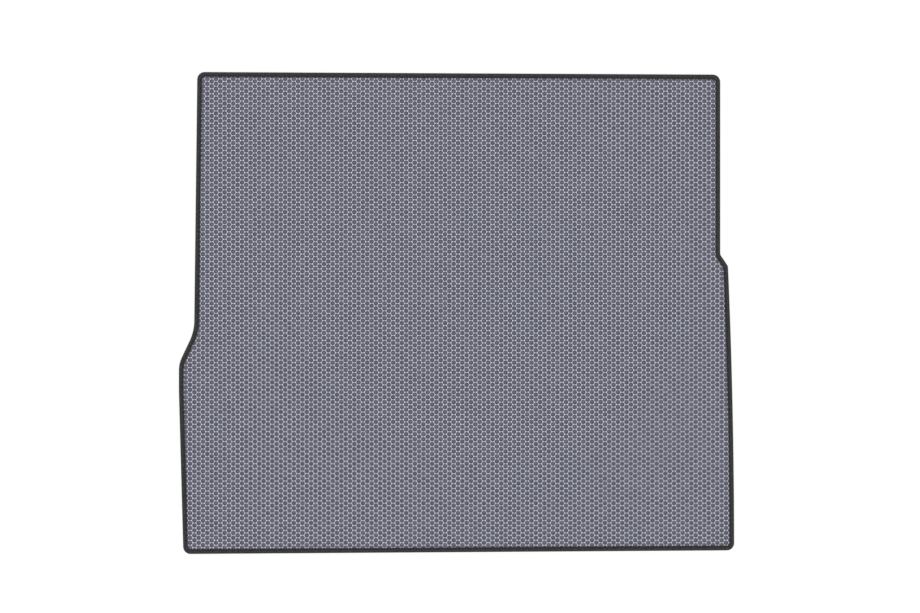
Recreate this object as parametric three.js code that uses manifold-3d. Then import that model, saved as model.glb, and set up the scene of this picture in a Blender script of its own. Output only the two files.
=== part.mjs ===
// A car boot liner: a moulded foam sheet with hexagonal cells in its top, cut to the outline of a boot floor.
// Its cut edge is wrapped in a folded tape, and one lockstitched seam holds the tape all the way round.
// Units are millimetres and +Z is up. +X points to the liner's right and +Y to its far edge.
// The origin is the centre of the underside's bounding box, which lies on the boot floor.

import * as THREE from "three";
import { mergeGeometries, mergeVertices } from "three/addons/utils/BufferGeometryUtils.js";
import Module from "manifold-3d";

// Outline, seen from above. Places run from the left end of the widest part and from the near edge.
const linerWidth = 1055;
const linerDepth = 916;
const cornerRadius = 14;
const nearLeftInset = 8.5;
const nearRightRise = 7;
const farLeftInset = 35;
const farRightInset = 26.5;
const farRightDrop = 5;

// Left side: the taper runs up to a short straight, then a smooth step in to the narrower far half.
const leftTaperEnd = 308;
const leftStepStart = 362;
const leftStepEnd = 423;
const leftStepDepth = 29;
const leftShoulderRadius = 57;
const leftHollowRadius = 92;

// Right side: a bowed edge up to a short, sharp step.
const rightStepStart = 547;
const rightStepEnd = 569;
const rightShoulderInset = 11.7;
const rightStepRadius = 8;

// Foam sheet, with a floor under the cells.
const sheetThickness = 10;
const cellFloor = 3;
const cellPitchAcross = 8.21;
const cellPitchAlong = 9.37;
const cellWall = 2;
const cellDraft = 0.25;
// Each recess stands for a patch this many cells across, and keeps the proportions of a real cell.
const cellsPerRecess = 6;

// Tape, folded over the edge that the seam squeezes.
const tapeThickness = 0.9;
const tapeCover = 9;
const boundHeight = 8.2;
const edgeRadius = 3.2;

// Seam, which sinks into the tape on both faces.
const threadDiameter = 0.8;
const seamFromTapeEdge = 2;

// Clearance between pieces that touch, and the run of the foam's slopes beside the tape.
const clearance = 0.3;
const topSlopeRun = 3.5;
const undersideSlopeRun = 1;

// Recesses stay this far from the slope, and one that the edge cuts below this share of a whole is left out.
const recessMargin = 1.2;
const leastRecessShare = 0.06;
const cutOverrun = 1;

// Resolution of round stretches, and the most of a side that one round corner takes up.
const cornerSteps = 6;
const stepBendSteps = 4;
const bowSteps = 4;
const edgeArcSteps = 3;
const threadSides = 6;
const leastRadius = 0.4;
const mostOfSide = 0.45;

// The liner's corners, anticlockwise from the near left one, each with its radius and arc steps.
function linerCorners() {
  const corner = (x, y, radius, steps) => ({ point: new THREE.Vector2(x, y), radius, steps });
  const farRightX = linerWidth - farRightInset;
  const bowed = [];
  for (let i = 1; i < bowSteps; i += 1) {
    const share = i / bowSteps;
    const x = linerWidth - rightShoulderInset * share * share;
    bowed.push(corner(x, THREE.MathUtils.lerp(nearRightRise, rightStepStart, share), 0, 0));
  }
  return [
    corner(nearLeftInset, 0, cornerRadius, cornerSteps),
    corner(linerWidth, nearRightRise, cornerRadius, cornerSteps),
    ...bowed,
    corner(linerWidth - rightShoulderInset, rightStepStart, rightStepRadius, stepBendSteps),
    corner(farRightX, rightStepEnd, rightStepRadius, stepBendSteps),
    corner(farRightX, linerDepth - farRightDrop, cornerRadius, cornerSteps),
    corner(farLeftInset, linerDepth, cornerRadius, cornerSteps),
    corner(leftStepDepth, leftStepEnd, leftHollowRadius, stepBendSteps),
    corner(0, leftStepStart, leftShoulderRadius, stepBendSteps),
    corner(0, leftTaperEnd, 0, 0),
  ];
}

// Directions, turn and limited radius at every corner, worked out once for all the insets.
function measureCorners(corners) {
  const count = corners.length;
  return corners.map((corner, i) => {
    const before = corner.point.clone().sub(corners[(i + count - 1) % count].point);
    const after = corners[(i + 1) % count].point.clone().sub(corner.point);
    const room = mostOfSide * Math.min(before.length(), after.length());
    before.normalize();
    after.normalize();
    const turn = Math.atan2(before.cross(after), before.dot(after));
    const longest = room / Math.tan(Math.abs(turn) / 2);
    return { ...corner, before, after, turn, radius: Math.min(corner.radius, longest) };
  });
}

// The outline moved inwards by an inset, with the same number of points at every inset.
function insetOutline(corners, inset) {
  const points = [];
  for (const { point, before, after, turn, radius, steps } of corners) {
    const inwardBefore = new THREE.Vector2(-before.y, before.x);
    const inwardAfter = new THREE.Vector2(-after.y, after.x);
    const mitre = inwardBefore.clone().add(inwardAfter);
    mitre.multiplyScalar(inset / (1 + inwardBefore.dot(inwardAfter)));
    const vertex = point.clone().add(mitre);
    if (steps === 0) {
      points.push(vertex);
      continue;
    }
    const side = Math.sign(turn);
    const bend = Math.max(radius - side * inset, leastRadius);
    const start = vertex.clone().addScaledVector(before, -bend * Math.tan(Math.abs(turn) / 2));
    const arcCentre = start.clone().addScaledVector(inwardBefore, side * bend);
    for (let i = 0; i <= steps; i += 1) {
      points.push(start.clone().rotateAround(arcCentre, (turn * i) / steps));
    }
  }
  return points;
}

const corners = measureCorners(linerCorners());
const middle = new THREE.Box2().setFromPoints(insetOutline(corners, 0)).getCenter(new THREE.Vector2());
corners.forEach(({ point }) => point.sub(middle));

// A closed mesh from rings of equal length. The last ring joins the first, or both ends get flat caps.
function loftRings(levels, capped) {
  const rings = levels.map(({ inset }) => insetOutline(corners, inset));
  const count = rings[0].length;
  const positions = [];
  rings.forEach((ring, k) => ring.forEach(({ x, y }) => positions.push(x, y, levels[k].z)));
  const indices = [];
  const bands = capped ? rings.length - 1 : rings.length;
  for (let k = 0; k < bands; k += 1) {
    const low = k * count;
    const high = ((k + 1) % rings.length) * count;
    for (let i = 0; i < count; i += 1) {
      const j = (i + 1) % count;
      indices.push(low + i, low + j, high + j, low + i, high + j, high + i);
    }
  }
  if (capped) {
    const last = (rings.length - 1) * count;
    for (const [a, b, c] of THREE.ShapeUtils.triangulateShape(rings[0], [])) {
      indices.push(c, b, a);
    }
    for (const [a, b, c] of THREE.ShapeUtils.triangulateShape(rings.at(-1), [])) {
      indices.push(last + a, last + b, last + c);
    }
  }
  const geometry = new THREE.BufferGeometry();
  geometry.setAttribute("position", new THREE.Float32BufferAttribute(positions, 3));
  geometry.setIndex(indices);
  return geometry;
}

// How deep the seam sinks, how far in it runs, and half the width of its groove's floor.
const seamDip = threadDiameter + clearance;
const seamInset = tapeCover - seamFromTapeEdge;
const seamFloorHalf = threadDiameter / 2 + clearance;
const seamMouthHalf = seamFloorHalf + clearance;

// One side of the bound edge's section, from the tape's inner edge on top down to the mid height.
// The skin says how far inside the tape's outer face the section lies.
function upperEdgeSection(skin, innerInset) {
  const top = boundHeight - skin;
  const groove = [
    [seamInset + seamMouthHalf, top],
    [seamInset + seamFloorHalf, top - seamDip],
    [seamInset - seamFloorHalf, top - seamDip],
    [seamInset - seamMouthHalf, top],
  ].map(([inset, z]) => ({ inset, z }));
  const arc = [];
  for (let i = 0; i <= edgeArcSteps; i += 1) {
    const angle = (i / edgeArcSteps) * (Math.PI / 2);
    arc.push({
      inset: edgeRadius - (edgeRadius - skin) * Math.sin(angle),
      z: boundHeight - edgeRadius + (edgeRadius - skin) * Math.cos(angle),
    });
  }
  return [{ inset: innerInset, z: top }, ...groove, ...arc];
}

// The same section with its mirror image below, from the top inner end round to the bottom inner end.
function edgeSection(skin, innerInset) {
  const upper = upperEdgeSection(skin, innerInset);
  const lower = upper.map(({ inset, z }) => ({ inset, z: boundHeight - z })).reverse();
  return [...upper, ...lower];
}

// Tape: a thin folded section swept round the whole outline.
function bindingTapeGeometry() {
  const outside = edgeSection(0, tapeCover);
  const inside = edgeSection(tapeThickness, tapeCover).reverse();
  return loftRings([...outside, ...inside].reverse(), false);
}

// A thread that lies in the seam's groove, at the top or the underside.
function threadGeometry(centreZ) {
  const section = [];
  for (let i = 0; i < threadSides; i += 1) {
    const angle = (2 * Math.PI * i) / threadSides;
    section.push({
      inset: seamInset - (threadDiameter / 2) * Math.cos(angle),
      z: centreZ + (threadDiameter / 2) * Math.sin(angle),
    });
  }
  return loftRings(section, false);
}

const wasm = await Module();
wasm.setup();

// A closed three.js geometry as a solid that can be joined and cut.
function toSolid(geometry) {
  const bare = geometry.clone();
  bare.deleteAttribute("normal");
  bare.deleteAttribute("uv");
  const merged = mergeVertices(bare);
  return new wasm.Manifold(
    new wasm.Mesh({
      numProp: 3,
      vertProperties: merged.attributes.position.array,
      triVerts: new Uint32Array(merged.index.array),
    }),
  );
}

// A solid back as a three.js geometry.
function toGeometry(solid) {
  const { vertProperties, triVerts } = solid.getMesh();
  const geometry = new THREE.BufferGeometry();
  geometry.setAttribute("position", new THREE.BufferAttribute(vertProperties, 3));
  geometry.setIndex(new THREE.BufferAttribute(triVerts, 1));
  return geometry;
}

// The insets at which the foam's faces reach their full height beside the tape.
const rimInset = tapeCover + clearance;
const topFaceInset = rimInset + topSlopeRun;
const recessZoneInset = topFaceInset + recessMargin;

// Foam before its cells: full thickness inside the tape, and squeezed where the tape grips it.
function plainSheetSolid() {
  const rim = edgeSection(tapeThickness + clearance, rimInset).reverse();
  const levels = [
    { inset: rimInset + undersideSlopeRun, z: 0 },
    ...rim,
    { inset: topFaceInset, z: sheetThickness },
  ];
  return toSolid(loftRings(levels, true));
}

// One hexagonal recess with drafted walls and two sides across the liner, as the cells have.
function recessGeometry(x, y) {
  const wallAcross = (cellWall * cellPitchAcross) / cellPitchAlong;
  const depth = sheetThickness - cellFloor;
  const cutDepth = depth + cutOverrun;
  const cornerReach = (2 / 3) * (cellPitchAcross - wallAcross) * cellsPerRecess;
  const mouth = cornerReach + (cellDraft * cutDepth) / depth;
  const recess = new THREE.CylinderGeometry(mouth, cornerReach, cutDepth, 6);
  recess.rotateY(Math.PI / 2);
  recess.rotateX(Math.PI / 2);
  const stretch = (cellPitchAlong / cellPitchAcross) * Math.cos(Math.PI / 6);
  recess.scale(1, stretch, 1);
  recess.translate(x, y, cellFloor + cutDepth / 2);
  return recess;
}

// Recesses on a staggered grid over the whole liner, cut off where the foam slopes down to the tape.
function recessSolids() {
  const pitchAcross = cellPitchAcross * cellsPerRecess;
  const pitchAlong = cellPitchAlong * cellsPerRecess;
  const columns = Math.ceil(linerWidth / 2 / pitchAcross);
  const rows = Math.ceil(linerDepth / 2 / pitchAlong);
  const grid = [];
  for (let column = -columns; column <= columns; column += 1) {
    const stagger = column % 2 === 0 ? 0 : pitchAlong / 2;
    for (let row = -rows - 1; row <= rows; row += 1) {
      grid.push(recessGeometry(column * pitchAcross, row * pitchAlong + stagger));
    }
  }
  const zone = toSolid(
    loftRings(
      [
        { inset: recessZoneInset, z: 0 },
        { inset: recessZoneInset, z: sheetThickness + 2 * cutOverrun },
      ],
      true,
    ),
  );
  const whole = pitchAcross * pitchAlong * (sheetThickness - cellFloor);
  const pieces = toSolid(mergeGeometries(grid)).intersect(zone).decompose();
  return pieces.filter((piece) => piece.volume() > whole * leastRecessShare);
}

function foamSheetGeometry() {
  let sheet = plainSheetSolid();
  for (const recess of recessSolids()) {
    sheet = sheet.subtract(recess);
  }
  return toGeometry(sheet);
}

function namedMesh(name, geometry, color, roughness) {
  geometry.computeVertexNormals();
  const mesh = new THREE.Mesh(geometry, new THREE.MeshStandardMaterial({ color, roughness, metalness: 0 }));
  mesh.name = name;
  return mesh;
}

const liner = new THREE.Group();
liner.name = "boot_liner";
liner.add(namedMesh("foam_sheet", foamSheetGeometry(), 0xb0b0bd, 0.8));
liner.add(namedMesh("binding_tape", bindingTapeGeometry(), 0x3a3a3c, 0.9));

const threadDepth = seamDip - clearance - threadDiameter / 2;
liner.add(namedMesh("needle_thread", threadGeometry(boundHeight - threadDepth), 0x2b2b2d, 0.7));
liner.add(namedMesh("bobbin_thread", threadGeometry(threadDepth), 0x2b2b2d, 0.7));

export default liner;
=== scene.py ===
"""A car boot liner: a foam sheet moulded full of hexagonal cells, bound with a folded and sewn tape."""

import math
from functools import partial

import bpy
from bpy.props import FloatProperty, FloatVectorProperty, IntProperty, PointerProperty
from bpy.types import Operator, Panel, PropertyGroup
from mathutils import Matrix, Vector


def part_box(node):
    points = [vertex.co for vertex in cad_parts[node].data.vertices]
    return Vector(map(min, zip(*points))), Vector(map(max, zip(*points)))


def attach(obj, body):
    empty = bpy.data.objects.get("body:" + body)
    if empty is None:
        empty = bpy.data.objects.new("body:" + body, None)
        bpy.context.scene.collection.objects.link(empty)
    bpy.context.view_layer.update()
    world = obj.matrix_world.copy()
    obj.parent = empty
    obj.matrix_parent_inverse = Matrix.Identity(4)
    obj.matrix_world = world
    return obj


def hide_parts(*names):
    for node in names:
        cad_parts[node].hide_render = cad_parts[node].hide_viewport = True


bl_info = {
    "name": "Car Boot Liner",
    "version": (1, 0, 0),
    "blender": (4, 5, 0),
    "location": "3D View > Sidebar > Boot Liner",
    "description": "Builds a foam boot liner with hexagonal cells, a bound edge and a small studio round it",
    "category": "Add Mesh",
}

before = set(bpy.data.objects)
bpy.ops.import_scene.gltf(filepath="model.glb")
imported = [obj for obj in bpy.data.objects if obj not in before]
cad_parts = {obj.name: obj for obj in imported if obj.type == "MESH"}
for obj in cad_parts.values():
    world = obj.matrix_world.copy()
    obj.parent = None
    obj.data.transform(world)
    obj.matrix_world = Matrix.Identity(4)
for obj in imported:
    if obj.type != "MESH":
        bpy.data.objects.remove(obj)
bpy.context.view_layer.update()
LINER_LOW, LINER_HIGH = (Vector(corner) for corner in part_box("binding_tape"))
FOAM_LOW, FOAM_HIGH = (Vector(corner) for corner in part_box("foam_sheet"))

MM = 0.001
BODY = "root"

# The turn of one step of an arc, and the steps of the bowed side.
ARC_STEP = math.radians(3)
BOW_STEPS = 16

# The most of a side that a rounded corner takes, and the tightest bends of an edge and of the seam.
MOST_OF_SIDE = 0.45
TIGHTEST_EDGE = 0.4 * MM
TIGHTEST_SEAM = 2.2 * MM

# The foam's cells come in strips of whole columns, because one mesh of them all would be too heavy.
# Each has spare rows of cells past the near and far edges, and the blank cuts them away.
FOAM_STRIPS = 4
SPARE_ROWS = 2

# The depth of the block of cells and the height of the blank that cuts it, in thicknesses of the sheet.
# The block reaches below the blank's underside, and the blank above the block's top, so both faces stay.
BLOCK_DEPTH = 1.5
BLANK_HEIGHT = 1.2

# Points that are nearer to each other than this become one.
SAME_PLACE = 0.01 * MM

# Edges of the foam that turn by more than this are crisp, and the rest are smooth.
CRISP_ANGLE = math.radians(45)

# A face is part of the underside if the upward part of its normal is under this.
FACING_DOWN = -0.5

# Once it is clear of the tape, the foam's underside comes down to the floor over this run.
LIFT_RUN = 1 * MM

# In the bake's map, the share of the way to its middle that a cell's floor moves, and the empty margin.
MAP_DRAWN_IN = 0.4
MAP_MARGIN = 4 * MM

# How far the tops' colour, partly painted light, reaches down a cell wall, and the width of a patch of
# uneven tone on the tops.
TOP_LIGHT_DEPTH = 0.5 * MM
TOP_PATCH = 7 * MM

# The foam's slow clouds of tone, as the sheet's colour drifts a little.
CLOUD_WIDTH = 60 * MM

# The foam's grain, drawn coarser than the real one so that it shows in a close view, and its tone.
GRAIN_SIZE = 0.5 * MM
GRAIN_TONE = 0.08

# Steps of a quarter of the tape's fold, on the outside and inside of the tape.
OUTER_FOLD_STEPS = 4
INNER_FOLD_STEPS = 2

# Where the tape's outer face and its lining have points in the seam's dip, as shares of the dip's reach.
OUTER_DIP = (-0.6, -0.2, 0.2, 0.6, 1)
LINING_DIP = (-0.2, 0.2, 1)

# The share of the tape's thickness by which its cut edge is eased.
EDGE_EASE = 0.35

# A face's corner that lies this share of the run before the face's middle is really past the run's end.
FAR_BEFORE = 0.3

# Rows of tape in the bake's map, and the empty share at each end and side of a row.
TAPE_MAP_ROWS = 9
TAPE_MAP_MARGIN = 0.02

# Powers that round off the weave's threads, and how strongly the weave paints light on the threads and shade
# between them.
WEFT_POWER = 0.4
WARP_POWER = 0.3
WEAVE_LIGHT_AND_SHADE = 1.1

# The yarn's thick and thin places are streaks along the tape, twice as long as they are wide.
SLUB_LENGTH = 4 * MM
SLUB_STRETCH = 2

# Points along one loop of thread, the sides of its section, and the power that makes its ends steep.
LOOP_POINTS = 7
THREAD_SIDES = 6
ARCH_POWER = 4

# The floor lies this much under the liner, so that their faces aren't in one plane.
FLOOR_DROP = 0.1 * MM

# The photograph's width in pixels, and its scale.
PHOTO_WIDTH = 920
METRES_PER_PIXEL = 0.0019

# The kinds of node that are added most.
MATH = "ShaderNodeMath"
VECTOR_MATH = "ShaderNodeVectorMath"
MAP_RANGE = "ShaderNodeMapRange"
MIX = "ShaderNodeMix"
NOISE = "ShaderNodeTexNoise"
COMBINE = "ShaderNodeCombineXYZ"
SEPARATE = "ShaderNodeSeparateXYZ"
MOVE = "GeometryNodeSetPosition"
STORE = "GeometryNodeStoreNamedAttribute"
READ = "GeometryNodeInputNamedAttribute"


def linear(hex_colour):
    """An sRGB hex colour as linear red, green and blue."""
    channels = [int(hex_colour[i:i + 2], 16) / 255 for i in (0, 2, 4)]
    return tuple(c / 12.92 if c <= 0.04045 else ((c + 0.055) / 1.055) ** 2.4 for c in channels)


def length(name, description, default):
    """A property that holds a length in metres."""
    return FloatProperty(
        name=name, description=description, default=default, subtype="DISTANCE", unit="LENGTH"
    )


def angle(name, description, degrees):
    """A property that holds an angle."""
    return FloatProperty(name=name, description=description, default=math.radians(degrees), subtype="ANGLE")


def colour(name, description, hex_colour):
    """A property that holds a colour."""
    return FloatVectorProperty(
        name=name, description=description, default=linear(hex_colour), subtype="COLOR", size=3, min=0, max=1
    )


class LinerOutline(PropertyGroup):
    """The outline from above, measured from the left end of its widest part and from its near edge."""

    width: length("Width", "Width over the tape", LINER_HIGH.x - LINER_LOW.x)
    depth: length("Depth", "Depth over the tape", LINER_HIGH.y - LINER_LOW.y)
    corner_radius: length("Corner Radius", "Radius of the four main corners", 14 * MM)
    near_left_inset: length("Near Left Inset", "How far in the near left corner lies", 8.5 * MM)
    near_right_rise: length("Near Right Rise", "How far up the near right corner lies", 7 * MM)
    far_left_inset: length("Far Left Inset", "How far in the far left corner lies", 35 * MM)
    far_right_inset: length("Far Right Inset", "How far in the far right part lies", 26.5 * MM)
    far_right_drop: length("Far Right Drop", "How far down the far right corner lies", 5 * MM)
    left_taper_end: length("Left Taper End", "Where the left side turns straight", 308 * MM)
    left_step_start: length("Left Step Start", "Where the left side starts to step in", 362 * MM)
    left_step_end: length("Left Step End", "Where the left step ends", 423 * MM)
    left_step_depth: length("Left Step Depth", "How far the left side steps in", 29 * MM)
    left_shoulder_radius: length("Left Shoulder Radius", "Radius of the left step's outer bend", 57 * MM)
    left_hollow_radius: length("Left Hollow Radius", "Radius of the left step's inner bend", 92 * MM)
    right_step_start: length("Right Step Start", "Where the right side starts to step in", 547 * MM)
    right_step_end: length("Right Step End", "Where the right step ends", 569 * MM)
    right_shoulder_inset: length("Right Shoulder Inset", "How far the right side bows in", 11.7 * MM)
    right_step_radius: length("Right Step Radius", "Radius of the right step's bends", 8 * MM)


class LinerFoam(PropertyGroup):
    """The foam sheet and its moulded cells."""

    thickness: length("Thickness", "Height of the cell walls' tops", FOAM_HIGH.z - FOAM_LOW.z)
    floor: length("Floor", "Foam left under the cells", 3 * MM)
    column_pitch: length("Column Pitch", "Distance between columns of cells", 8.2035 * MM)
    row_pitch: length("Row Pitch", "Distance between cells in a column", 9.3675 * MM)
    crown: length("Crown", "Height of the middle of a cell's floor", 3.8 * MM)
    wall: length("Wall", "Foam between two cells in a column", 0.95 * MM)
    draft: length("Draft", "How far a cell's side leans in on its way down", 0.5 * MM)
    corner_cut: FloatProperty(
        name="Corner Cut",
        description="Share of a cell's side that rounds each corner",
        default=0.268,
        subtype="FACTOR",
        min=0,
        max=0.5,
    )
    cell_x: length("Cell X", "Where the middle cell lies across the liner", 11 * MM)
    cell_y: length("Cell Y", "Where the middle cell lies along the liner", -0.5 * MM)
    edge_height: length("Edge Height", "Height of the foam that the seam squeezes", 5.4 * MM)
    edge_lift: length("Edge Lift", "How far the squeezed foam's underside lifts", 1.2 * MM)
    squeeze_end: length("Squeeze End", "How far in from the tape the foam is at its full height", 3.5 * MM)
    # The tops' colour is the foam's own, raised a little as painted light, and the joints' colour is a
    # painted highlight.
    lit_top: colour("Lit Top Foam", "Colour of the cell walls' tops", "bdbece")
    joint_highlight_colour: colour("Joint Highlight", "Colour of the tops where three walls meet", "eff0fc")
    # The colours inside the cells are painted shade, lighter at the middle of each floor.
    moulded: colour("Cell Shade", "Colour of the foam inside the cells", "7b7c8a")
    floor_colour: colour("Floor Middle Shade", "Colour of the middle of a cell's floor", "838493")


class LinerBinding(PropertyGroup):
    """The tape that wraps the foam's edge, and the seam that holds it."""

    cover: length("Cover", "How far the tape reaches in from the edge", 9 * MM)
    thickness: length("Thickness", "Thickness of the tape", 0.9 * MM)
    height: length("Height", "Height of the bound edge", LINER_HIGH.z - LINER_LOW.z)
    edge_radius: length("Edge Radius", "Radius of the fold at the edge", 3.2 * MM)
    clearance: length("Clearance", "Room between the tape and the foam", 0.3 * MM)
    seam_inset: length("Seam Inset", "How far in from the edge the seam runs", 7 * MM)
    seam_dip: length("Seam Dip", "How deep the seam sinks into the tape", 1.1 * MM)
    seam_reach: length("Seam Reach", "How far from the seam the tape dips", 1.9 * MM)
    stitches: IntProperty(name="Stitches", description="Stitches all the way round", default=656)
    stations: IntProperty(name="Stations", description="Sections of the tape to each stitch", default=4)
    pucker: length("Pucker", "How much deeper the tape dips at each stitch hole", 0.3 * MM)
    thread_diameter: length("Thread Diameter", "Diameter of both threads", 0.8 * MM)
    stitch_sink: length("Stitch Sink", "How far the threads sink at each hole", 0.9 * MM)
    rib_pitch: length("Rib Pitch", "Distance between the weave's ribs", 1.5 * MM)
    twist_pitch: length("Twist Pitch", "Distance between the thread's plies", 1.3 * MM)
    tape_colour: colour("Tape", "Colour of the tape", "343435")
    thread_colour: colour("Thread", "Colour of both threads", "2c2c2e")


class LinerStudio(PropertyGroup):
    """The floor, the light and the camera."""

    lens: FloatProperty(name="Lens", description="Focal length", default=150, subtype="DISTANCE_CAMERA")
    view_x: length("View X", "Where the camera stands across the liner", 6.6 * MM)
    view_y: length("View Y", "Where the camera stands along the liner", 12.35 * MM)
    dome: FloatProperty(name="Dome", description="Strength of the light from all round", default=0.6)
    sun: FloatProperty(name="Sun", description="Strength of the soft light from above", default=1.2)
    sun_angle: angle("Sun Angle", "Width of the soft light", 50)
    sun_tilt: angle("Sun Tilt", "How far the soft light leans", 4)
    sun_turn: angle("Sun Turn", "Which way the soft light leans", 30)
    floor_size: length("Floor Size", "Width of the floor", 12)
    floor_glow: FloatProperty(
        name="Floor Glow",
        description="Light that the floor shows the camera",
        default=0.77,
        subtype="FACTOR",
        min=0,
        max=1,
    )
    floor_colour: colour("Floor", "Colour of the floor", "909090")


class LinerSettings(PropertyGroup):
    """All the sizes and colours of the liner and its studio."""

    outline: PointerProperty(type=LinerOutline)
    foam: PointerProperty(type=LinerFoam)
    binding: PointerProperty(type=LinerBinding)
    studio: PointerProperty(type=LinerStudio)


def outline_corners(sizes):
    """Each corner's place and radius, anticlockwise from the near left one."""
    far_right = sizes.width - sizes.far_right_inset
    corners = [
        (sizes.near_left_inset, 0, sizes.corner_radius),
        (sizes.width, sizes.near_right_rise, sizes.corner_radius),
    ]
    for i in range(1, BOW_STEPS):
        share = i / BOW_STEPS
        x = sizes.width - sizes.right_shoulder_inset * share**2
        y = sizes.near_right_rise + (sizes.right_step_start - sizes.near_right_rise) * share
        corners.append((x, y, 0))
    return corners + [
        (sizes.width - sizes.right_shoulder_inset, sizes.right_step_start, sizes.right_step_radius),
        (far_right, sizes.right_step_end, sizes.right_step_radius),
        (far_right, sizes.depth - sizes.far_right_drop, sizes.corner_radius),
        (sizes.far_left_inset, sizes.depth, sizes.corner_radius),
        (sizes.left_step_depth, sizes.left_step_end, sizes.left_hollow_radius),
        (0, sizes.left_step_start, sizes.left_shoulder_radius),
        (0, sizes.left_taper_end, 0),
    ]


def uncentred_ring(sizes, inset, least_radius):
    """The outline moved inwards by an inset, with as many points at every inset."""
    corners = [(Vector((x, y)), radius) for x, y, radius in outline_corners(sizes)]
    ring = []
    for i, (point, radius) in enumerate(corners):
        before = point - corners[i - 1][0]
        after = corners[(i + 1) % len(corners)][0] - point
        longest = MOST_OF_SIDE * min(before.length, after.length)
        before.normalize()
        after.normalize()
        turn = math.atan2(before.cross(after), before.dot(after))
        slope = math.tan(abs(turn) / 2)
        inward = Vector((-before.y, before.x))
        mitre = inward + Vector((-after.y, after.x))
        vertex = point + mitre * inset / (1 + before.dot(after))
        if radius == 0:
            ring.append(vertex)
            continue
        side = math.copysign(1, turn)
        bend = max(min(radius, longest / slope) - side * inset, least_radius)
        start = vertex - before * bend * slope
        centre = start + inward * side * bend
        steps = math.ceil(abs(turn) / ARC_STEP)
        for k in range(steps + 1):
            ring.append(centre + Matrix.Rotation(turn * k / steps, 2) @ (start - centre))
    return ring


def outline_ring(sizes, inset, least_radius=TIGHTEST_EDGE):
    """The outline moved inwards by an inset, with the middle of its box at the origin."""
    edge = uncentred_ring(sizes, 0, least_radius)
    across = [point.x for point in edge]
    along = [point.y for point in edge]
    middle = Vector((min(across) + max(across), min(along) + max(along))) / 2
    return [point - middle for point in uncentred_ring(sizes, inset, least_radius)]


def add_object(name, data):
    """A new object in the scene."""
    piece = bpy.data.objects.new(name, data)
    bpy.context.scene.collection.objects.link(piece)
    return piece


def mesh_object(name, vertices, edges=(), faces=()):
    """A new mesh object."""
    mesh = bpy.data.meshes.new(name)
    mesh.from_pydata(vertices, edges, faces)
    return add_object(name, mesh)


def loop_edges(count):
    """The edges of one closed loop of vertices."""
    return [(i, (i + 1) % count) for i in range(count)]


def loft(name, rings, heights):
    """A closed mesh through rings of points, each at its height, with flat ends."""
    count = len(rings[0])
    vertices = [(point.x, point.y, z) for ring, z in zip(rings, heights) for point in ring]
    last = count * (len(rings) - 1)
    faces = [tuple(reversed(range(count))), tuple(range(last, last + count))]
    for low in range(0, last, count):
        faces += [(low + i, low + j, low + count + j, low + count + i) for i, j in loop_edges(count)]
    return mesh_object(name, vertices, faces=faces)


def path_object(name, points):
    """A closed curve of straight runs between points."""
    data = bpy.data.curves.new(name, "CURVE")
    data.dimensions = "3D"
    spline = data.splines.new("POLY")
    spline.points.add(len(points) - 1)
    for knot, point in zip(spline.points, points):
        knot.co = (point.x, point.y, 0, 1)
    spline.use_cyclic_u = True
    return add_object(name, data)


def add(tree, kind, inputs=(), output=0, **settings):
    """Adds a node with its settings and links, and gives one of its outputs.

    The inputs go in order or by name. Each is a value, a socket that feeds it, or a list of such sockets."""
    node = tree.nodes.new(kind)
    for name, value in settings.items():
        setattr(node, name, value)
    for name, value in inputs.items() if isinstance(inputs, dict) else enumerate(inputs):
        for source in value if isinstance(value, list) else [value]:
            if isinstance(source, bpy.types.NodeSocket):
                tree.links.new(source, node.inputs[name])
            else:
                node.inputs[name].default_value = source
    return node.outputs[output] if node.outputs else None


def geometry_tree(name, inputs):
    """A Geometry Nodes tree: the tree, the function that adds nodes to it, and its named inputs."""
    tree = bpy.data.node_groups.new(name, "GeometryNodeTree")
    tree.interface.new_socket("Geometry", in_out="INPUT", socket_type="NodeSocketGeometry")
    for socket_name, kind in inputs.items():
        tree.interface.new_socket(socket_name, in_out="INPUT", socket_type="NodeSocket" + kind)
    tree.interface.new_socket("Geometry", in_out="OUTPUT", socket_type="NodeSocketGeometry")
    return tree, partial(add, tree), tree.nodes.new("NodeGroupInput").outputs


def finish_tree(node, geometry, material):
    """Ends a tree with plain geometry that has its material."""
    plain = node("GeometryNodeRealizeInstances", {"Geometry": geometry})
    dressed = node("GeometryNodeSetMaterial", {"Geometry": plain, "Material": material})
    node("NodeGroupOutput", {"Geometry": dressed})


def grown_mesh(name, base, tree, inputs):
    """The plain mesh object that a tree makes of a base object."""
    modifier = base.modifiers.new(tree.name, "NODES")
    modifier.node_group = tree
    for item in tree.interface.items_tree:
        if item.in_out == "INPUT" and item.name in inputs:
            modifier[item.identifier] = inputs[item.name]
    graph = bpy.context.evaluated_depsgraph_get()
    mesh = bpy.data.meshes.new_from_object(base.evaluated_get(graph), depsgraph=graph)
    if not mesh.polygons:
        raise RuntimeError(f"{name} came out empty")
    mesh.name = name
    base.modifiers.remove(modifier)
    mesh.materials.clear()
    mesh.materials.append(inputs["Material"])
    return add_object(name, mesh)


def discard(*helpers):
    """Removes the objects that only helped to make a piece."""
    for helper in helpers:
        bpy.data.objects.remove(helper)


def dress(piece, node):
    """Puts a finished piece in the place of its CAD node."""
    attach(piece, BODY)
    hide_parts(node)


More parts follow.
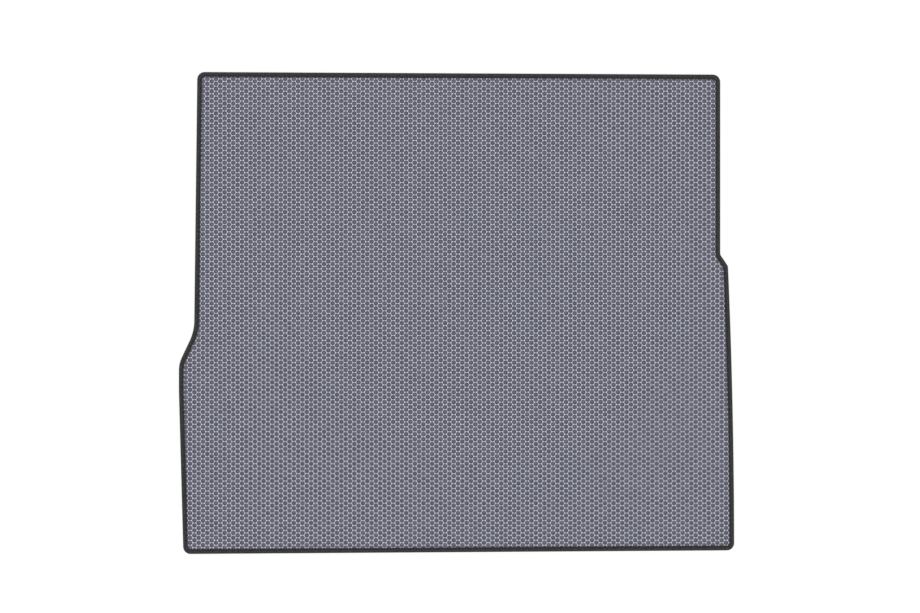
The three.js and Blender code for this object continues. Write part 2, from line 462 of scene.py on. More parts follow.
def cell_tile(foam):
    """One hexagon of wall top with its cell: a mouth with cut corners, a drafted side and a raised floor."""
    column, row = foam.column_pitch, foam.row_pitch
    third, half = column / 3, row / 2
    corners = [(2, 0), (1, 1), (-1, 1), (-2, 0), (-1, -1), (1, -1)]
    tile = [Vector((x * third, y * half)) for x, y in corners]

    def rounded(width):
        """The hexagon at this width between flat sides, with each corner cut into two."""
        inner = [corner * width / row for corner in tile]
        ring = []
        for i, corner in enumerate(inner):
            ring.append(corner.lerp(inner[i - 1], foam.corner_cut))
            ring.append(corner.lerp(inner[(i + 1) % len(inner)], foam.corner_cut))
        return ring

    mouth = rounded(row - foam.wall)
    floor = rounded(row - foam.wall - 2 * foam.draft)
    middle = [Vector((0, 0))]
    rings = ((tile, foam.thickness), (mouth, foam.thickness), (floor, foam.floor), (middle, foam.crown))
    vertices = [(point.x, point.y, z) for ring, z in rings for point in ring]
    sides, points = len(tile), len(mouth)
    low = sides + points
    faces = []
    for i, j in loop_edges(sides):
        faces.append((i, sides + 2 * i + 1, sides + 2 * i))
        faces.append((i, j, sides + 2 * j, sides + 2 * i + 1))
    for i, j in loop_edges(points):
        faces.append((sides + i, sides + j, low + j, low + i))
        faces.append((low + i, low + j, low + points))
    return mesh_object("Cell tile", vertices, faces=faces)


def cells_tree():
    """A block of foam with hexagonal cells, cut to a blank and squeezed along the blank's edge."""
    tree, node, given = geometry_tree(
        "Moulded cells",
        {
            "Tile": "Object",
            "Blank": "Object",
            "Edge": "Object",
            "First Column": "Int",
            "Columns": "Int",
            "Rows": "Int",
            "Column Pitch": "Float",
            "Row Pitch": "Float",
            "Middle Cell": "Vector",
            "Thickness": "Float",
            "Floor": "Float",
            "Edge Height": "Float",
            "Edge Lift": "Float",
            "Rim Inset": "Float",
            "Lift Run": "Float",
            "Squeeze Start": "Float",
            "Squeeze End": "Float",
            "Map Corner": "Vector",
            "Map Size": "Vector",
            "Material": "Material",
        },
    )
    thickness, column_pitch, row_pitch = (given[name] for name in ("Thickness", "Column Pitch", "Row Pitch"))

    # A staggered grid of points. The middles of its triangles are the corners of the cells' hexagons.
    last_column = node(MATH, (given["Columns"], 1), operation="SUBTRACT")
    last_row = node(MATH, (given["Rows"], 1), operation="SUBTRACT")
    grid = node(
        "GeometryNodeMeshGrid",
        {
            "Size X": node(MATH, (column_pitch, last_column), operation="MULTIPLY"),
            "Size Y": node(MATH, (row_pitch, last_row), operation="MULTIPLY"),
            "Vertices X": given["Columns"],
            "Vertices Y": given["Rows"],
        },
    )
    place = node("GeometryNodeInputPosition")
    across, _, height = node(SEPARATE, (place,)).node.outputs
    middle_column = node(MATH, (last_column, 0.5, given["First Column"]), operation="MULTIPLY_ADD")
    from_middle = node(MATH, (across, column_pitch), operation="DIVIDE")
    nearly_column = node(MATH, (from_middle, middle_column), operation="ADD")
    column = node(MATH, (nearly_column,), operation="ROUND")
    odd = node(MATH, (column, 2), operation="FLOORED_MODULO")
    half_row = node(MATH, (row_pitch, 0.5), operation="MULTIPLY")
    strip_x = node(MATH, (middle_column, column_pitch), operation="MULTIPLY")
    stagger = node(MATH, (odd, half_row), operation="MULTIPLY")
    from_cell = node(COMBINE, (strip_x, stagger, thickness))
    shift = node(VECTOR_MATH, (from_cell, given["Middle Cell"]), operation="ADD")
    staggered = node(MOVE, {"Geometry": grid, "Offset": shift})
    split = node("GeometryNodeTriangulate", {"Mesh": staggered}, quad_method="SHORTEST_DIAGONAL")
    hexagons = node("GeometryNodeDualMesh", {"Mesh": split})

    # A tile in each hexagon, whose faces remember the middle of their cell.
    middles = node("GeometryNodeMeshToPoints", {"Mesh": hexagons}, mode="FACES")
    marked = node(
        STORE,
        {"Geometry": middles, "Name": "middle", "Value": place},
        data_type="FLOAT_VECTOR",
        domain="POINT",
    )
    down = node(MATH, (thickness, -1), operation="MULTIPLY")
    lowered = node(MOVE, {"Geometry": marked, "Offset": node(COMBINE, {"Z": down})})
    tile = node("GeometryNodeObjectInfo", {"Object": given["Tile"]}, output="Geometry")
    tiles = node("GeometryNodeInstanceOnPoints", {"Points": lowered, "Instance": tile})
    loose = node("GeometryNodeRealizeInstances", {"Geometry": tiles})
    middle = node(READ, {"Name": "middle"}, data_type="FLOAT_VECTOR")
    cells = node(
        STORE,
        {"Geometry": loose, "Name": "cell_middle", "Value": middle},
        data_type="FLOAT_VECTOR",
        domain="FACE",
    )

    # The block reaches below the blank, which then gives the underside.
    depth = node(MATH, (thickness, -BLOCK_DEPTH), operation="MULTIPLY")
    below = node(COMBINE, {"Z": depth})
    deep = node("GeometryNodeExtrudeMesh", {"Mesh": hexagons, "Offset": below, "Individual": False})
    outside = node("GeometryNodeFlipFaces", {"Mesh": deep})
    both = node("GeometryNodeJoinGeometry", ([cells, outside],))
    block = node("GeometryNodeMergeByDistance", {"Geometry": both, "Distance": SAME_PLACE})
    blank = node("GeometryNodeObjectInfo", {"Object": given["Blank"]}, output="Geometry")
    cut = node(
        "GeometryNodeMeshBoolean", {"Mesh 2": [block, blank]}, operation="INTERSECT", solver="MANIFOLD"
    )

    # The bake's map: the top laid flat, with each cell's side and floor drawn in towards its middle,
    # and the underside beside it.
    cell = node(READ, {"Name": "cell_middle"}, data_type="FLOAT_VECTOR")
    in_cell = node(MATH, (node(SEPARATE, (cell,), output="Z"), 0), operation="GREATER_THAN")
    sunk = node(
        MAP_RANGE,
        {
            "Value": height,
            "From Min": thickness,
            "From Max": given["Floor"],
            "To Min": 0,
            "To Max": MAP_DRAWN_IN,
        },
    )
    drawn = node(MATH, (in_cell, sunk), operation="MULTIPLY")
    towards = node(VECTOR_MATH, (cell, place), operation="SUBTRACT")
    pull = node(VECTOR_MATH, {0: towards, "Scale": drawn}, operation="SCALE")
    laid = node(VECTOR_MATH, (place, pull), operation="ADD")
    from_corner = node(VECTOR_MATH, (laid, given["Map Corner"]), operation="SUBTRACT")
    spread = node(VECTOR_MATH, (from_corner, given["Map Size"]), operation="DIVIDE")
    facing = node(SEPARATE, (node("GeometryNodeInputNormal"),), output="Z")
    faces_down = node(MATH, (facing, FACING_DOWN), operation="LESS_THAN")
    underside = node("GeometryNodeFieldOnDomain", {"Value": faces_down}, data_type="FLOAT", domain="FACE")
    beside = node(COMBINE, {"X": node(MATH, (underside, 0.5), operation="MULTIPLY")})
    on_map = node(VECTOR_MATH, (spread, beside), operation="ADD")
    mapped = node(
        STORE,
        {"Geometry": cut, "Name": "OFBake", "Value": on_map},
        data_type="FLOAT2",
        domain="CORNER",
    )
    measured = node(
        STORE,
        {"Geometry": mapped, "Name": "moulded_height", "Value": height},
        data_type="FLOAT",
        domain="POINT",
    )

    # The seam squeezes the foam's edge, more the nearer it is to the outline.
    edge = node("GeometryNodeObjectInfo", {"Object": given["Edge"]}, output="Geometry")
    flat_place = node(VECTOR_MATH, (place, (1, 1, 0)), operation="MULTIPLY")
    inset = node(
        "GeometryNodeProximity",
        {"Geometry": edge, "Sample Position": flat_place},
        output="Distance",
        target_element="EDGES",
    )
    top_height = node(
        MAP_RANGE,
        {
            "Value": inset,
            "From Min": given["Squeeze Start"],
            "From Max": given["Squeeze End"],
            "To Min": given["Edge Height"],
            "To Max": thickness,
        },
        interpolation_type="SMOOTHSTEP",
    )
    low_height = node(
        MAP_RANGE,
        {
            "Value": inset,
            "From Min": given["Rim Inset"],
            "From Max": node(MATH, (given["Rim Inset"], given["Lift Run"]), operation="ADD"),
            "To Min": given["Edge Lift"],
            "To Max": 0,
        },
    )
    squeezed_depth = node(MATH, (top_height, low_height), operation="SUBTRACT")
    moulded_depth = node(MATH, (thickness, low_height), operation="SUBTRACT")
    squeeze = node(MATH, (squeezed_depth, moulded_depth), operation="DIVIDE")
    change = node(MATH, (squeeze, 1), operation="SUBTRACT")
    over_low = node(MATH, (height, low_height), operation="SUBTRACT")
    rise = node(MATH, (over_low, change), operation="MULTIPLY")
    squeezed = node(MOVE, {"Geometry": measured, "Offset": node(COMBINE, {"Z": rise})})

    # The rims and floors of the cells are crisp, and their sides are round.
    bend = node("GeometryNodeInputMeshEdgeAngle", output="Unsigned Angle")
    sharp = node(MATH, (bend, CRISP_ANGLE), operation="GREATER_THAN")
    smooth = node("GeometryNodeSetShadeSmooth", {"Geometry": squeezed})
    crisp = node(
        "GeometryNodeSetShadeSmooth",
        {"Geometry": smooth, "Selection": sharp, "Shade Smooth": False},
        domain="EDGE",
    )
    finish_tree(node, crisp, given["Material"])
    return tree


def foam_blank(outline, foam, binding):
    """The foam's outer shape with its underside, before the edge is squeezed, and higher than the sheet."""
    rim = binding.cover + binding.clearance
    end = binding.thickness + binding.clearance
    steps = [
        (rim + LIFT_RUN, 0),
        (rim, foam.edge_lift),
        (end, foam.edge_lift),
        (end, foam.thickness * BLANK_HEIGHT),
    ]
    return loft("Foam blank", [outline_ring(outline, inset) for inset, _ in steps], [z for _, z in steps])


def section_half(binding, skin, places, fold_steps):
    """The upper half of the tape's section from its inner edge to its fold.

    Each point is a place outwards from the seam and a height. The skin is the depth below the outer face."""
    points = []
    for place in places:
        rise = max(1 - abs(place) / binding.seam_reach, 0)
        dip = binding.seam_dip * rise * rise * (3 - 2 * rise)
        points.append((place, binding.height - skin - dip))
    radius = binding.edge_radius - skin
    for k in range(fold_steps + 1):
        turn = math.pi / 2 * k / fold_steps
        place = binding.seam_inset - binding.edge_radius + radius * math.sin(turn)
        points.append((place, binding.height - binding.edge_radius + radius * math.cos(turn)))
    return points


def tape_section(binding):
    """The closed section of the tape, as points with a place outwards from the seam and a height."""
    inner = binding.seam_inset - binding.cover
    eased = binding.thickness * EDGE_EASE
    outer_places = [inner + eased] + [share * binding.seam_reach for share in OUTER_DIP]
    lining_places = [inner] + [share * binding.seam_reach for share in LINING_DIP]
    outer = section_half(binding, 0, outer_places, OUTER_FOLD_STEPS)
    outer.insert(0, (inner, binding.height - eased))
    lining = section_half(binding, binding.thickness, lining_places, INNER_FOLD_STEPS)
    upper = list(reversed(lining)) + outer
    return upper + [(place, binding.height - height) for place, height in reversed(upper)]


def tape_tree():
    """The tape's section swept along the seam, puckered at each stitch hole."""
    tree, node, given = geometry_tree(
        "Folded tape",
        {
            "Section": "Object",
            "Stitches": "Int",
            "Stations": "Int",
            "Height": "Float",
            "Seam Reach": "Float",
            "Pucker": "Float",
            "Material": "Material",
        },
    )
    count = node(MATH, (given["Stitches"], given["Stations"]), operation="MULTIPLY")
    even = node("GeometryNodeResampleCurve", {"Curve": given["Geometry"], "Count": count}, mode="COUNT")
    level = node("GeometryNodeSetCurveNormal", {"Curve": even}, mode="Z_UP")
    seam = node(
        STORE,
        {"Geometry": level, "Name": "station", "Value": node("GeometryNodeInputIndex")},
        data_type="FLOAT",
        domain="POINT",
    )
    place = node("GeometryNodeInputPosition")
    across, _, height = node(SEPARATE, (place,)).node.outputs
    section = node("GeometryNodeObjectInfo", {"Object": given["Section"]}, output="Geometry")
    placed = node(
        STORE, {"Geometry": section, "Name": "out", "Value": across}, data_type="FLOAT", domain="POINT"
    )
    walked = node("GeometryNodeSplineParameter", output="Length")
    profile = node(
        STORE, {"Geometry": placed, "Name": "around", "Value": walked}, data_type="FLOAT", domain="POINT"
    )
    swept = node("GeometryNodeCurveToMesh", {"Curve": seam, "Profile Curve": profile})

    # The tape sinks at each hole of the seam, on both faces.
    station = node(READ, {"Name": "station"}, data_type="FLOAT")
    stitch = node(MATH, (station, given["Stations"]), operation="DIVIDE")
    phase = node(MATH, (stitch, 2 * math.pi), operation="MULTIPLY")
    wave = node(MATH, (phase,), operation="COSINE")
    hole = node(MATH, (wave, 0.5, 0.5), operation="MULTIPLY_ADD")
    off_seam = node(MATH, (node(READ, {"Name": "out"}, data_type="FLOAT"),), operation="ABSOLUTE")
    share_out = node(MATH, (off_seam, given["Seam Reach"]), operation="DIVIDE")
    share_in = node(MATH, (1, share_out), operation="SUBTRACT")
    near = node(MATH, (share_in, 0), operation="MAXIMUM")
    share = node(MATH, (hole, near), operation="MULTIPLY")
    half_height = node(MATH, (given["Height"], 0.5), operation="MULTIPLY")
    under_middle = node(MATH, (half_height, height), operation="SUBTRACT")
    side = node(MATH, (under_middle,), operation="SIGN")
    pucker = node(MATH, (share, given["Pucker"]), operation="MULTIPLY")
    sink = node(MATH, (pucker, side), operation="MULTIPLY")
    puckered = node(MOVE, {"Geometry": swept, "Offset": node(COMBINE, {"Z": sink})})
    smooth = node("GeometryNodeSetShadeSmooth", {"Geometry": puckered})

    # Both maps are laid out by the distances along the seam and around the section, in which the last
    # face of each run ends where the first one starts.
    def unrolled(name, whole):
        """A distance at each face corner, carried on past the end of the run, and its mean on the face."""
        here = node(READ, {"Name": name}, data_type="FLOAT")
        mean = node("GeometryNodeFieldOnDomain", {"Value": here}, data_type="FLOAT", domain="FACE")
        before = node(MATH, (mean, here), operation="SUBTRACT")
        far = node(MATH, (whole, FAR_BEFORE), operation="MULTIPLY")
        past_end = node(MATH, (before, far), operation="GREATER_THAN")
        return node(MATH, (past_end, whole, here), operation="MULTIPLY_ADD"), mean

    ring = node("GeometryNodeCurveLength", {"Curve": given["Geometry"]})
    girth = node("GeometryNodeCurveLength", {"Curve": profile})
    station_here, station_mean = unrolled("station", count)
    around_here, _ = unrolled("around", girth)
    station_length = node(MATH, (ring, count), operation="DIVIDE")
    along = node(MATH, (station_here, station_length), operation="MULTIPLY")
    woven = node(
        STORE,
        {"Geometry": smooth, "Name": "UVMap", "Value": node(COMBINE, (along, around_here))},
        data_type="FLOAT2",
        domain="CORNER",
    )

    # In the bake's map the tape is cut into rows, one above the other.
    share_of_count = node(MATH, (count, TAPE_MAP_ROWS), operation="DIVIDE")
    per_row = node(MATH, (share_of_count,), operation="CEIL")
    next_mean = node(MATH, (station_mean, 1), operation="ADD")
    past_end = node(MATH, (station_here, next_mean), operation="GREATER_THAN")
    last_middle = node(MATH, (count, 0.5), operation="SUBTRACT")
    face_station = node(MATH, (past_end, last_middle, station_mean), operation="MULTIPLY_ADD")
    face_middle = node(MATH, (face_station, last_middle), operation="MINIMUM")
    rows_before = node(MATH, (face_middle, per_row), operation="DIVIDE")
    row = node(MATH, (rows_before,), operation="FLOOR")
    row_start = node(MATH, (row, per_row), operation="MULTIPLY")
    in_row = node(MATH, (station_here, row_start), operation="SUBTRACT")
    share_of_row = node(MATH, (in_row, per_row), operation="DIVIDE")
    share_of_girth = node(MATH, (around_here, girth), operation="DIVIDE")
    used = 1 - 2 * TAPE_MAP_MARGIN
    u = node(MATH, (share_of_row, used, TAPE_MAP_MARGIN), operation="MULTIPLY_ADD")
    v = node(MATH, (share_of_girth, used, TAPE_MAP_MARGIN), operation="MULTIPLY_ADD")
    rows_up = node(MATH, (row, v), operation="ADD")
    on_map = node(COMBINE, (u, node(MATH, (rows_up, TAPE_MAP_ROWS), operation="DIVIDE")))
    baked = node(
        STORE,
        {"Geometry": woven, "Name": "OFBake", "Value": on_map},
        data_type="FLOAT2",
        domain="CORNER",
    )
    finish_tree(node, baked, given["Material"])
    return tree


def stitches_tree():
    """One loop of thread from each stitch hole to the next."""
    tree, node, given = geometry_tree(
        "Lockstitches",
        {
            "Stitches": "Int",
            "Thread Diameter": "Float",
            "Middle Height": "Float",
            "Sink": "Float",
            "Material": "Material",
        },
    )
    stitches = given["Stitches"]
    lift = node(COMBINE, {"Z": given["Middle Height"]})
    raised = node(MOVE, {"Geometry": given["Geometry"], "Offset": lift})
    seam = node("GeometryNodeResampleCurve", {"Curve": raised, "Count": stitches}, mode="COUNT")

    # One loop of thread, from hole to hole along X.
    seam_length = node("GeometryNodeCurveLength", {"Curve": seam})
    run = node(MATH, (seam_length, stitches), operation="DIVIDE")
    line = node("GeometryNodeCurvePrimitiveLine", {"End": node(COMBINE, {"X": run})})
    straight = node("GeometryNodeResampleCurve", {"Curve": line, "Count": LOOP_POINTS}, mode="COUNT")
    factor = node("GeometryNodeSplineParameter", output="Factor")
    from_middle = node(MATH, (factor, 2, -1), operation="MULTIPLY_ADD")
    off_middle = node(MATH, (from_middle,), operation="ABSOLUTE")
    steep = node(MATH, (off_middle, ARCH_POWER), operation="POWER")
    sunk = node(MATH, (steep, given["Sink"]), operation="MULTIPLY")
    arch = node(MOVE, {"Geometry": straight, "Offset": node(COMBINE, {"Z": sunk})})
    radius = node(MATH, (given["Thread Diameter"], 0.5), operation="MULTIPLY")
    ring = node("GeometryNodeCurvePrimitiveCircle", {"Resolution": THREAD_SIDES, "Radius": radius})
    loop = node("GeometryNodeCurveToMesh", {"Curve": arch, "Profile Curve": ring, "Fill Caps": True})

    # Every hole gets a loop that points to the next hole.
    place = node("GeometryNodeInputPosition")
    one_on = node(MATH, (node("GeometryNodeInputIndex"), 1), operation="ADD")
    next_hole = node(MATH, (one_on, stitches), operation="FLOORED_MODULO")
    next_place = node(
        "GeometryNodeFieldAtIndex",
        {"Index": next_hole, "Value": place},
        data_type="FLOAT_VECTOR",
        domain="POINT",
    )
    step = node(VECTOR_MATH, (next_place, place), operation="SUBTRACT")
    turn = node("FunctionNodeAlignRotationToVector", {"Vector": step}, axis="X", pivot_axis="Z")
    loops = node("GeometryNodeInstanceOnPoints", {"Points": seam, "Instance": loop, "Rotation": turn})
    plain = node("GeometryNodeRealizeInstances", {"Geometry": loops})
    smooth = node("GeometryNodeSetShadeSmooth", {"Geometry": plain})
    finish_tree(node, smooth, given["Material"])
    return tree


def node_adder(owner):
    """Empties the tree of a material or a world, and gives the function that adds nodes to it."""
    owner.use_nodes = True
    owner.node_tree.nodes.clear()
    return partial(add, owner.node_tree)


def opaque(rgb):
    """A colour with its alpha."""
    return (*rgb, 1)


def moulded_foam(foam):
    """EVA foam, compression moulded: matt and chalky, with painted shade in its cells and painted light on
    its wall tops.
    """
    material = bpy.data.materials.new("EVA foam, compression moulded")
    node = node_adder(material)
    place = node("ShaderNodeTexCoord", output="Object")
    height = node("ShaderNodeAttribute", output="Fac", attribute_name="moulded_height")
    cell = node("ShaderNodeAttribute", output="Vector", attribute_name="cell_middle")

    # The wall tops get a painted highlight at the hexagons' corners, where three walls meet.
    side, corner = foam.row_pitch / 2, foam.column_pitch * 2 / 3
    away = node(VECTOR_MATH, (place, cell), operation="SUBTRACT")
    level = node(VECTOR_MATH, (away, (1, 1, 0)), operation="MULTIPLY")
    radius = node(VECTOR_MATH, (level,), output="Value", operation="LENGTH")
    joint_highlight_share = node(MAP_RANGE, {"Value": radius, "From Min": side, "From Max": corner})
    tops = node(
        MIX,
        {"Factor": joint_highlight_share, "A": opaque(foam.lit_top), "B": opaque(foam.joint_highlight_colour)},
        output="Result",
        data_type="RGBA",
    )
    # Inside the cells the colour is painted shade, lighter towards the middle of each floor.
    above_crown = node(MATH, (height, foam.crown), operation="SUBTRACT")
    off_crown = node(MATH, (above_crown,), operation="ABSOLUTE")
    lighter_middle_share = node(MAP_RANGE, {"Value": off_crown, "From Min": foam.crown - foam.floor, "From Max": 0})
    insides = node(
        MIX,
        {"Factor": lighter_middle_share, "A": opaque(foam.moulded), "B": opaque(foam.floor_colour)},
        output="Result",
        data_type="RGBA",
    )

    # No two cells are quite alike: their insides differ in tone, and their tops are uneven in tone.
    cell_tone = node("ShaderNodeTexWhiteNoise", {"Vector": cell}, output="Value")
    inside_tone = node(MAP_RANGE, {"Value": cell_tone, "To Min": 0.89, "To Max": 1.11})
    toned_insides = node(VECTOR_MATH, {0: insides, "Scale": inside_tone}, operation="SCALE")
    top_patches = node(NOISE, {"Vector": place, "Scale": 1 / TOP_PATCH, "Detail": 1})
    top_tone = node(MAP_RANGE, {"Value": top_patches, "To Min": 0.75, "To Max": 1.25})
    toned_tops = node(VECTOR_MATH, {0: tops, "Scale": top_tone}, operation="SCALE")
    # The tops' colour reaches a little way down each wall, and below it lies the painted shade of the cells.
    at_top = node(
        MAP_RANGE, {"Value": height, "From Min": foam.thickness - TOP_LIGHT_DEPTH, "From Max": foam.thickness}
    )
    base = node(
        MIX, {"Factor": at_top, "A": toned_insides, "B": toned_tops}, output="Result", data_type="RGBA"
    )

    # The clouds and the grain shade all of it.
    clouds = node(NOISE, {"Vector": place, "Scale": 1 / CLOUD_WIDTH, "Detail": 3})
    drift = node(MAP_RANGE, {"Value": clouds, "To Min": 0.93, "To Max": 0.99})
    grain = node(NOISE, {"Vector": place, "Scale": 1 / GRAIN_SIZE, "Detail": 2})
    shade = node(MATH, (grain, GRAIN_TONE, drift), operation="MULTIPLY_ADD")
    shader = node(
        "ShaderNodeBsdfPrincipled",
        {
            "Base Color": node(VECTOR_MATH, {0: base, "Scale": shade}, operation="SCALE"),
            "Normal": node("ShaderNodeBump", {"Height": grain, "Strength": 0.6, "Distance": 0.15 * MM}),
            "Roughness": 0.75,
            "IOR": 1.49,
        },
    )
    node("ShaderNodeOutputMaterial", {"Surface": shader})
    return material


def woven_tape(binding):
    """Woven polyester tape: fine ribs across it in painted light and shade, a dull soft shine, slightly
    uneven in tone.
    """
    material = bpy.data.materials.new("Polyester tape, woven")
    node = node_adder(material)
    laid = node("ShaderNodeUVMap", uv_map="UVMap")
    along, around, _ = node(SEPARATE, (laid,)).node.outputs

    def wave(distance, pitch, shift):
        """A wave from 0 to 1 along a distance."""
        turn = node(MATH, (distance, 2 * math.pi / pitch, shift), operation="MULTIPLY_ADD")
        return node(MATH, (node(MATH, (turn,), operation="SINE"), 0.5, 0.5), operation="MULTIPLY_ADD")

    # Plain weave: every second warp thread stands up where its neighbours go down.
    # The threads are drawn coarser than real ones, so that they show in a close view.
    warps_before = node(MATH, (around, binding.rib_pitch), operation="DIVIDE")
    warp_number = node(MATH, (warps_before,), operation="FLOOR")
    half_turn = node(MATH, (warp_number, math.pi), operation="MULTIPLY")
    weft = node(MATH, (wave(along, binding.rib_pitch * 2, half_turn), WEFT_POWER), operation="POWER")
    warp = node(MATH, (wave(around, binding.rib_pitch, -math.pi / 2), WARP_POWER), operation="POWER")
    weave = node(MATH, (weft, warp), operation="MULTIPLY")

    # Slubs darken and lighten the tape. The noise keeps near its middle, so its ends lie far apart here.
    narrow = node(MATH, (around, SLUB_STRETCH), operation="MULTIPLY")
    streaks = node(COMBINE, (along, narrow))
    slubs = node(NOISE, {"Vector": streaks, "Scale": 1 / SLUB_LENGTH, "Detail": 3}, noise_dimensions="2D")
    speck = node(MAP_RANGE, {"Value": slubs, "To Min": -1.11, "To Max": 1.99})
    # The weave paints the threads' crests lighter and the grooves between them darker, as painted light and
    # shade.
    shade = node(MATH, (weave, WEAVE_LIGHT_AND_SHADE, speck), operation="MULTIPLY_ADD")
    shader = node(
        "ShaderNodeBsdfPrincipled",
        {
            "Base Color": node(VECTOR_MATH, {0: binding.tape_colour, "Scale": shade}, operation="SCALE"),
            "Normal": node("ShaderNodeBump", {"Height": weave, "Strength": 1, "Distance": 0.3 * MM}),
            "Roughness": 0.7,
            "Specular IOR Level": 0.25,
            "Sheen Weight": 0.05,
        },
    )
    node("ShaderNodeOutputMaterial", {"Surface": shader})
    return material


def twisted_thread(binding):
    """Polyester sewing thread, twisted: dark, with slanting plies in painted light and shade, and a soft
    sheen.
    """
    material = bpy.data.materials.new("Polyester thread, twisted")
    node = node_adder(material)
    place = node("ShaderNodeTexCoord", output="Object")

    # The seam runs along X and Y nearly everywhere, and bands across their diagonal slant over it
    # as plies do. They are drawn coarser than real ones, so that they show in a close view.
    slant = node(VECTOR_MATH, (place, (1, 1, 1)), output="Value", operation="DOT_PRODUCT")
    turn = node(MATH, (slant, math.pi / binding.twist_pitch), operation="MULTIPLY")
    ply = node(MATH, (node(MATH, (turn,), operation="SINE"),), operation="ABSOLUTE")
    # The plies' crests are painted lighter and the grooves between them darker, as painted light and shade.
    shade = node(MAP_RANGE, {"Value": ply, "To Min": 0.5, "To Max": 1.3})
    shader = node(
        "ShaderNodeBsdfPrincipled",
        {
            "Base Color": node(VECTOR_MATH, {0: binding.thread_colour, "Scale": shade}, operation="SCALE"),
            "Normal": node("ShaderNodeBump", {"Height": ply, "Strength": 0.7, "Distance": 0.15 * MM}),
            "Roughness": 0.5,
        },
    )
    node("ShaderNodeOutputMaterial", {"Surface": shader})
    return material


def floor_paper(studio):
    """Matt paper: white to the camera and in reflections, and still shaded under the liner's edge."""
    material = bpy.data.materials.new("Paper, matt white")
    node = node_adder(material)
    ray = node("ShaderNodeLightPath").node.outputs
    reflected = node(MATH, (ray["Is Glossy Ray"], ray["Is Transmission Ray"]), operation="MAXIMUM")
    seen = node(MATH, (ray["Is Camera Ray"], reflected), operation="MAXIMUM")
    strength = node(MATH, (seen, studio.floor_glow), operation="MULTIPLY")
    glow = node("ShaderNodeEmission", {"Color": (1, 1, 1, 1), "Strength": strength})
    paper = node("ShaderNodeBsdfDiffuse", {"Color": opaque(studio.floor_colour)})
    node("ShaderNodeOutputMaterial", {"Surface": node("ShaderNodeAddShader", (paper, glow))})
    return material


def studio_world(studio):
    """Soft light from all round, and white to the camera."""
    world = bpy.data.worlds.new("Studio")
    node = node_adder(world)
    seen = node("ShaderNodeLightPath", output="Is Camera Ray")
    strength = node(MAP_RANGE, {"Value": seen, "To Min": studio.dome, "To Max": 1})
    sky = node("ShaderNodeBackground", {"Color": (1, 1, 1, 1), "Strength": strength})
    node("ShaderNodeOutputWorld", {"Surface": sky})
    return world


class LINER_OT_foam(Operator):
    """Make the foam sheet with its hexagonal cells"""

    bl_idname = "boot_liner.foam"
    bl_label = "Foam Sheet"

    def execute(self, context):
        settings = context.scene.boot_liner
        outline, foam, binding = settings.outline, settings.foam, settings.binding
        ring = outline_ring(outline, 0)
        edge = mesh_object("Foam edge", [(point.x, point.y, 0) for point in ring], loop_edges(len(ring)))
        blank = foam_blank(outline, foam, binding)
        start = mesh_object("Foam start", [(0, 0, 0)])
        tile = cell_tile(foam)
        tree = cells_tree()
        material = moulded_foam(foam)
        reach = outline.width / 2 + foam.column_pitch
        first = math.floor((-reach - foam.cell_x) / foam.column_pitch)
        last = math.ceil((reach - foam.cell_x) / foam.column_pitch)
        half_rows = math.ceil((outline.depth / 2 + abs(foam.cell_y)) / foam.row_pitch + SPARE_ROWS)
        share = (last - first + 1) / FOAM_STRIPS
        seams = [first + round(share * k) for k in range(FOAM_STRIPS + 1)]
        for k, (low, high) in enumerate(zip(seams, seams[1:])):
            left = (low - 1) * foam.column_pitch + foam.cell_x
            strip_width = (high - low + 1) * foam.column_pitch
            strip = grown_mesh(
                f"foam_sheet_{k + 1}",
                start,
                tree,
                {
                    "Tile": tile,
                    "Blank": blank,
                    "Edge": edge,
                    "First Column": low - 1,
                    "Columns": high - low + 2,
                    "Rows": 2 * half_rows + 1,
                    "Column Pitch": foam.column_pitch,
                    "Row Pitch": foam.row_pitch,
                    "Middle Cell": (foam.cell_x, foam.cell_y, 0),
                    "Thickness": foam.thickness,
                    "Floor": foam.floor,
                    "Edge Height": foam.edge_height,
                    "Edge Lift": foam.edge_lift,
                    "Rim Inset": binding.cover + binding.clearance,
                    "Lift Run": LIFT_RUN,
                    "Squeeze Start": binding.seam_inset,
                    "Squeeze End": binding.cover + foam.squeeze_end,
                    "Map Corner": (left - MAP_MARGIN, -outline.depth / 2 - MAP_MARGIN, 0),
                    "Map Size": (2 * strip_width + 4 * MAP_MARGIN, outline.depth + 2 * MAP_MARGIN, 1),
                    "Material": material,
                },
            )
            dress(strip, "foam_sheet")
        discard(edge, blank, start, tile)
        return {"FINISHED"}


class LINER_OT_binding(Operator):
    """Make the tape that is folded round the foam's edge"""

    bl_idname = "boot_liner.binding"
    bl_label = "Binding Tape"

    def execute(self, context):
        settings = context.scene.boot_liner
        binding = settings.binding
        seam = path_object("Seam", outline_ring(settings.outline, binding.seam_inset, TIGHTEST_SEAM))
        # A swept section's second axis points down when its path runs anticlockwise.
        points = [Vector((place, -height)) for place, height in tape_section(binding)]
        section = path_object("Tape section", points)
        tape = grown_mesh(
            "binding_tape_woven",
            seam,
            tape_tree(),
            {
                "Section": section,
                "Stitches": binding.stitches,
                "Stations": binding.stations,
                "Height": binding.height,
                "Seam Reach": binding.seam_reach,
                "Pucker": binding.pucker,
                "Material": woven_tape(binding),
            },
        )
        dress(tape, "binding_tape")
        discard(seam, section)
        return {"FINISHED"}


class LINER_OT_seam(Operator):
    """Make the needle thread on top and the bobbin thread underneath"""

    bl_idname = "boot_liner.seam"
    bl_label = "Seam Threads"

    def execute(self, context):
        settings = context.scene.boot_liner
        binding = settings.binding
        seam = path_object("Seam", outline_ring(settings.outline, binding.seam_inset, TIGHTEST_SEAM))
        tree = stitches_tree()
        material = twisted_thread(binding)
        lie = binding.seam_dip - binding.thread_diameter / 2
        for node, height, side in (("needle_thread", binding.height - lie, -1), ("bobbin_thread", lie, 1)):
            thread = grown_mesh(
                f"{node}_stitches",
                seam,
                tree,
                {
                    "Stitches": binding.stitches,
                    "Thread Diameter": binding.thread_diameter,
                    "Middle Height": height,
                    "Sink": side * binding.stitch_sink,
                    "Material": material,
                },
            )
            dress(thread, node)
        discard(seam)
        return {"FINISHED"}


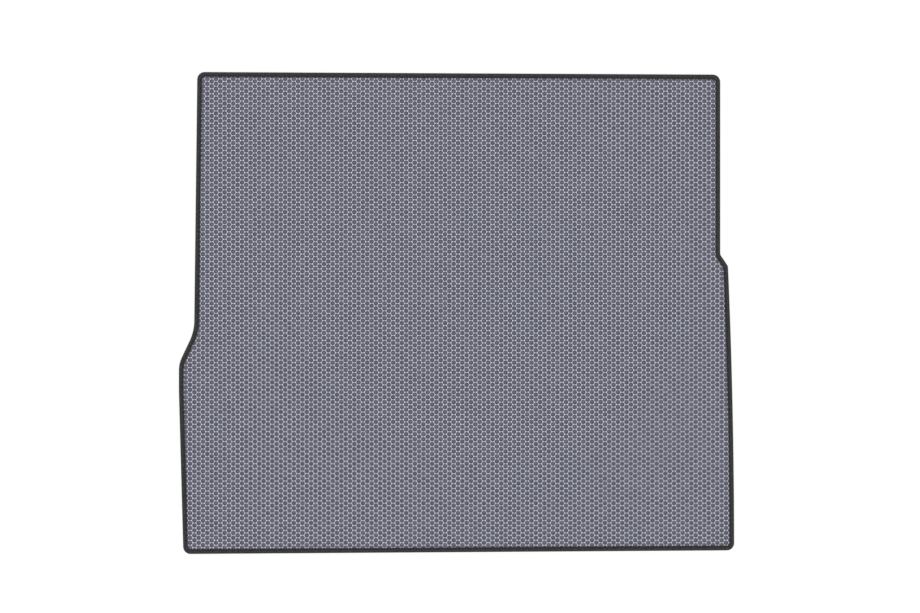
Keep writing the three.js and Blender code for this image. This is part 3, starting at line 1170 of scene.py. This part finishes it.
class LINER_OT_studio(Operator):
    """Make the floor, the light and the camera"""

    bl_idname = "boot_liner.studio"
    bl_label = "Studio"

    def execute(self, context):
        scene = context.scene
        settings = scene.boot_liner
        studio = settings.studio
        half = studio.floor_size / 2
        signs = ((-1, -1), (1, -1), (1, 1), (-1, 1))
        corners = [(half * x, half * y, -FLOOR_DROP) for x, y in signs]
        floor = mesh_object("studio_floor", corners, faces=[(0, 1, 2, 3)])
        floor.data.materials.append(floor_paper(studio))
        scene.world = studio_world(studio)

        light = bpy.data.lights.new("Soft light", "SUN")
        light.energy = studio.sun
        light.angle = studio.sun_angle
        lamp = add_object("Soft light", light)
        lamp.rotation_euler = (studio.sun_tilt, 0, studio.sun_turn)

        camera = bpy.data.cameras.new("Camera")
        camera.lens = studio.lens
        view = add_object("Camera", camera)
        frame_width = PHOTO_WIDTH * METRES_PER_PIXEL
        height = camera.lens / camera.sensor_width * frame_width
        view.location = (studio.view_x, studio.view_y, settings.binding.height / 2 + height)
        scene.camera = view
        scene.view_settings.view_transform = "Standard"
        return {"FINISHED"}


class LINER_PT_panel(Panel):
    """The liner's pieces, its sizes and its colours"""

    bl_idname = "LINER_PT_panel"
    bl_label = "Boot Liner"
    bl_space_type = "VIEW_3D"
    bl_region_type = "UI"
    bl_category = "Boot Liner"

    def draw(self, context):
        settings = context.scene.boot_liner
        for heading, operators, group in (
            ("Outline", (), settings.outline),
            ("Foam", (LINER_OT_foam,), settings.foam),
            ("Binding", (LINER_OT_binding, LINER_OT_seam), settings.binding),
            ("Studio", (LINER_OT_studio,), settings.studio),
        ):
            box = self.layout.box()
            box.label(text=heading)
            for operator in operators:
                box.operator(operator.bl_idname)
            for name in group.__annotations__:
                box.prop(group, name)


CLASSES = (
    LinerOutline,
    LinerFoam,
    LinerBinding,
    LinerStudio,
    LinerSettings,
    LINER_OT_foam,
    LINER_OT_binding,
    LINER_OT_seam,
    LINER_OT_studio,
    LINER_PT_panel,
)


def register():
    """Registers the classes and the scene's settings."""
    for each in CLASSES:
        bpy.utils.register_class(each)
    bpy.types.Scene.boot_liner = PointerProperty(type=LinerSettings)


def unregister():
    """Removes the settings and the classes."""
    del bpy.types.Scene.boot_liner
    for each in reversed(CLASSES):
        bpy.utils.unregister_class(each)


def main():
    """Builds the liner and its studio."""
    register()
    bpy.ops.boot_liner.foam()
    bpy.ops.boot_liner.binding()
    bpy.ops.boot_liner.seam()
    bpy.ops.boot_liner.studio()


if __name__ == "__main__":
    main()
